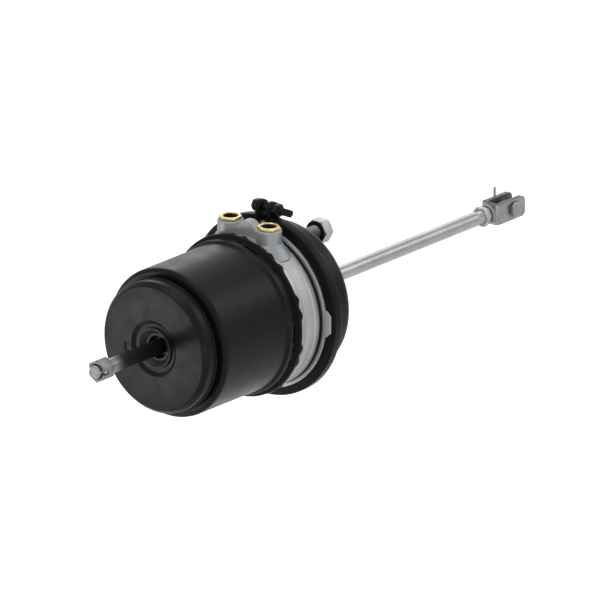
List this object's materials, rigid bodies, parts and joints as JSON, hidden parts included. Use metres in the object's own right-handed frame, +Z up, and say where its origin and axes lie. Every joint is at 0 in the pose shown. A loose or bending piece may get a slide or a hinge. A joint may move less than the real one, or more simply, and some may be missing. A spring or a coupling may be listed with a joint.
{
  "type": "spring brake actuator",
  "caption": "Spring brake actuator for a truck axle: a crimped parking chamber behind a clamped service chamber, with air ports, a release bolt, mounting studs and a push rod with a clevis.",
  "frame": {"origin": "on the mounting face of the service chamber, at the centre of the stud pattern and of the push rod", "axes": "+X along the push rod towards its clevis, +Z up through the air ports, +Y to the side of the parking chamber's port"},
  "size_m": [0.6905, 0.1984, 0.2134],
  "materials": {
    "black_paint": "gloss paint on pressed steel",
    "black_clamp": "satin paint on rolled steel",
    "black_steel": "blackened",
    "bare_steel": "turned",
    "zinc_plate": "zinc plated",
    "spring_steel": "coated spring steel",
    "cast_aluminium": "cast and turned",
    "brass": "turned",
    "rubber": "moulded",
    "bearing_plastic": "moulded"
  },
  "bodies": {
    "chamber": {"spring_chamber_pot": "black_paint", "release_bolt_bush": "black_steel", "intermediate_flange": "cast_aluminium", "spring_port_insert": "brass", "service_port_insert": "brass", "flange_seal_ring": "rubber", "spring_piston": "cast_aluminium", "piston_seal": "rubber", "piston_guide_ring": "bearing_plastic", "thrust_tube": "bare_steel", "thrust_tube_plug": "bare_steel", "power_spring": "spring_steel", "tube_guide_bush": "bearing_plastic", "tube_seal": "rubber", "service_diaphragm": "rubber", "service_chamber_pot": "black_paint", "clamp_ring": "black_clamp", "clamp_bolt": "black_steel", "clamp_nut": "black_steel", "mounting_studs": "zinc_plate", "stud_washers": "black_steel", "stud_nuts": "zinc_plate", "rod_seal": "rubber", "rod_seal_retainer": "zinc_plate"},
    "push_rod": {"push_plate": "bare_steel", "push_rod": "bare_steel", "rod_lock_nut": "zinc_plate", "clevis": "zinc_plate", "return_spring": "spring_steel"},
    "clevis_pin": {"clevis_pin": "zinc_plate", "cotter_pin": "bare_steel"},
    "release_travel": {"release_thrust_washer": "bare_steel"},
    "release_bolt": {"release_bolt": "zinc_plate", "release_nut": "zinc_plate", "release_nut_pin": "bare_steel"}
  },
  "joints": [
    {"name": "push_rod_stroke", "type": "slide", "parent": "chamber", "child": "push_rod", "axis": [1, 0, 0], "range_m": [0, 0.057], "stiffness_N_per_m": 2000, "springref_m": -0.05, "deforming": ["return_spring", "service_diaphragm"]},
    {"name": "clevis_pin_turn", "type": "hinge", "parent": "push_rod", "child": "clevis_pin", "pos_m": [0.3525, 0, 0], "axis": [0, 1, 0], "continuous": true},
    {"name": "release_bolt_travel", "type": "slide", "parent": "chamber", "child": "release_travel", "axis": [1, 0, 0], "range_m": [0, 0.074]},
    {"name": "release_bolt_turn", "type": "hinge", "parent": "release_travel", "child": "release_bolt", "pos_m": [-0.2195, 0, 0], "axis": [1, 0, 0], "range_deg": [0, 13322]}
  ],
  "couplings": [
    {"joint": "release_bolt_turn", "follows": "release_bolt_travel", "rad_per_m": 3141.6}
  ]
}
